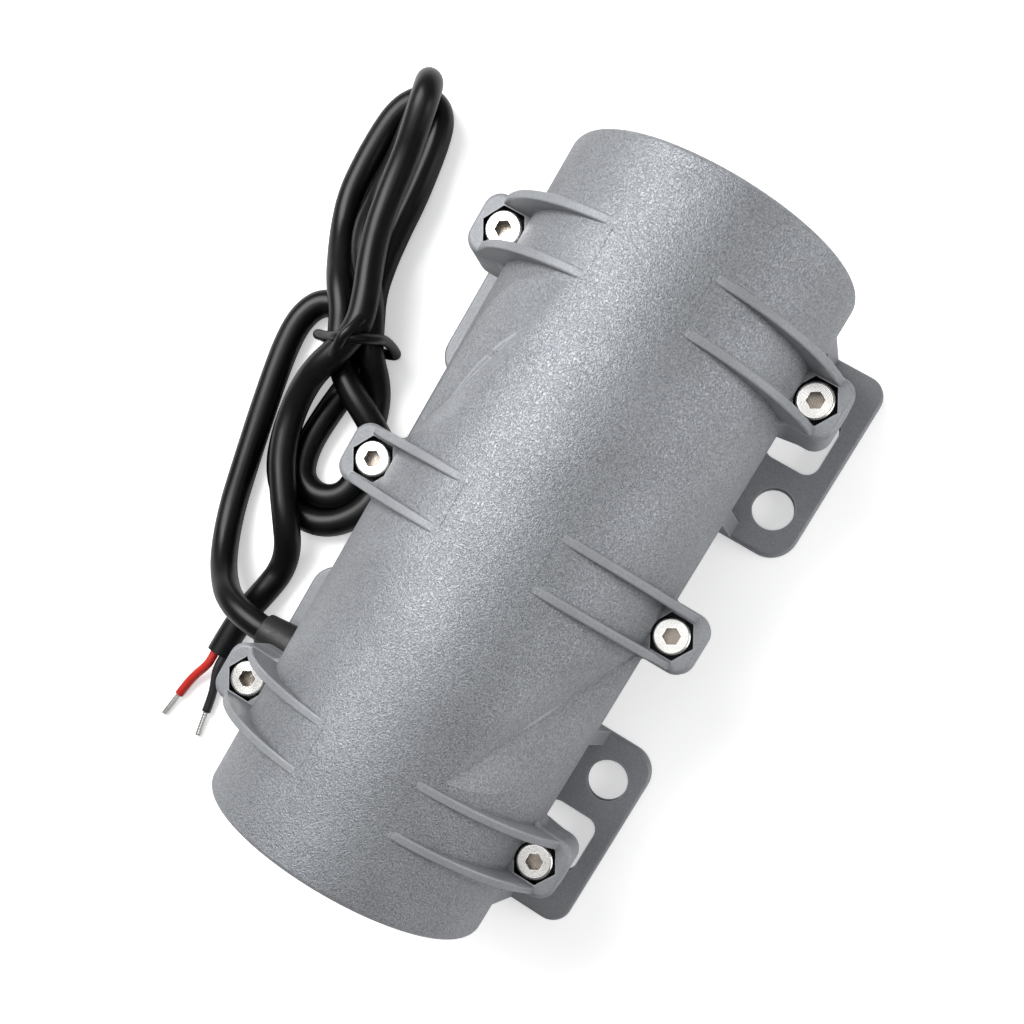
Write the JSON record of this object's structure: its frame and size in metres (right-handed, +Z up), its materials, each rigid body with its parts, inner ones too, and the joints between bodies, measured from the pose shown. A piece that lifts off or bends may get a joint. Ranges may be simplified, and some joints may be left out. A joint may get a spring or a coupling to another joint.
{
  "type": "vibration motor",
  "caption": "Foot-mounted vibration motor in a split cast housing with ribbed clamp lugs, eccentric weights inside and a tied supply cord.",
  "frame": {"origin": "on the mounting surface, under the middle of the feet", "axes": "+X along the shaft, +Y towards the side where the cord leaves, +Z up"},
  "size_m": [0.1565, 0.1265, 0.0635],
  "materials": {
    "cast_housing": "fine-grained grey powder coat over the die casting",
    "seal_rubber": "matt black",
    "screw_steel": "bright turned stainless steel",
    "bearing_steel": "ground and polished",
    "ground_steel": "turned and ground",
    "weight_iron": "machined",
    "core_iron": "varnished laminations",
    "magnet_ferrite": "sintered, dark grey",
    "winding_copper": "enamelled wire under varnish",
    "commutator_copper": "turned copper",
    "brush_carbon": "graphite",
    "spring_steel": "drawn wire",
    "brush_plate_resin": "moulded phenolic",
    "entry_rubber": "satin black",
    "cord_jacket": "soft glossy black",
    "tie_plastic": "satin black",
    "red_insulation": "extruded",
    "black_insulation": "extruded",
    "tinned_copper": "tinned strands"
  },
  "bodies": {
    "housing": {"upper_shell": "cast_housing", "lower_shell": "cast_housing", "front_foot": "cast_housing", "rear_foot": "cast_housing", "shell_seal": "seal_rubber", "clamp_screws": "screw_steel", "clamp_nuts": "screw_steel", "flux_ring": "core_iron", "upper_magnet": "magnet_ferrite", "lower_magnet": "magnet_ferrite", "brush_plate": "brush_plate_resin", "front_outer_race": "bearing_steel", "rear_outer_race": "bearing_steel", "front_bearing_shields": "bearing_steel", "rear_bearing_shields": "bearing_steel", "cord_entry": "entry_rubber", "positive_lead": "red_insulation", "negative_lead": "black_insulation", "upper_brush_spring": "spring_steel", "lower_brush_spring": "spring_steel", "supply_cord": "cord_jacket", "cord_hank": "cord_jacket", "cord_tie": "tie_plastic", "cord_tail": "cord_jacket", "red_core": "red_insulation", "black_core": "black_insulation", "red_core_tip": "tinned_copper", "black_core_tip": "tinned_copper"},
    "rotor": {"shaft": "ground_steel", "armature_core": "core_iron", "armature_winding": "winding_copper", "commutator": "commutator_copper", "commutator_sleeve": "ground_steel", "core_sleeve": "ground_steel", "front_inner_race": "bearing_steel", "front_spacer": "ground_steel", "front_weight": "weight_iron", "front_set_screw": "ground_steel", "front_circlip": "ground_steel", "rear_inner_race": "bearing_steel", "rear_spacer": "ground_steel", "rear_weight": "weight_iron", "rear_set_screw": "ground_steel", "rear_circlip": "ground_steel"},
    "front_balls": {"front_ball_set": "bearing_steel"},
    "rear_balls": {"rear_ball_set": "bearing_steel"},
    "upper_brush_holder": {"upper_brush": "brush_carbon"},
    "lower_brush_holder": {"lower_brush": "brush_carbon"}
  },
  "joints": [
    {"name": "rotor_spin", "type": "hinge", "parent": "housing", "child": "rotor", "pos_m": [0, 0, 0.0335], "axis": [1, 0, 0], "continuous": true},
    {"name": "front_ball_spin", "type": "hinge", "parent": "housing", "child": "front_balls", "pos_m": [0.0475, 0, 0.0335], "axis": [1, 0, 0], "continuous": true},
    {"name": "rear_ball_spin", "type": "hinge", "parent": "housing", "child": "rear_balls", "pos_m": [-0.0475, 0, 0.0335], "axis": [1, 0, 0], "continuous": true},
    {"name": "upper_brush_slide", "type": "slide", "parent": "housing", "child": "upper_brush_holder", "axis": [0, 0, 1], "range_m": [0, 0.0015], "stiffness_N_per_m": 100, "springref_m": -0.02, "deforming": ["upper_brush_spring"]},
    {"name": "lower_brush_slide", "type": "slide", "parent": "housing", "child": "lower_brush_holder", "axis": [0, 0, -1], "range_m": [0, 0.0015], "stiffness_N_per_m": 100, "springref_m": -0.02, "deforming": ["lower_brush_spring"]}
  ],
  "couplings": [
    {"joint": "front_ball_spin", "follows": "rotor_spin", "ratio": 0.3766},
    {"joint": "rear_ball_spin", "follows": "rotor_spin", "ratio": 0.3766}
  ]
}
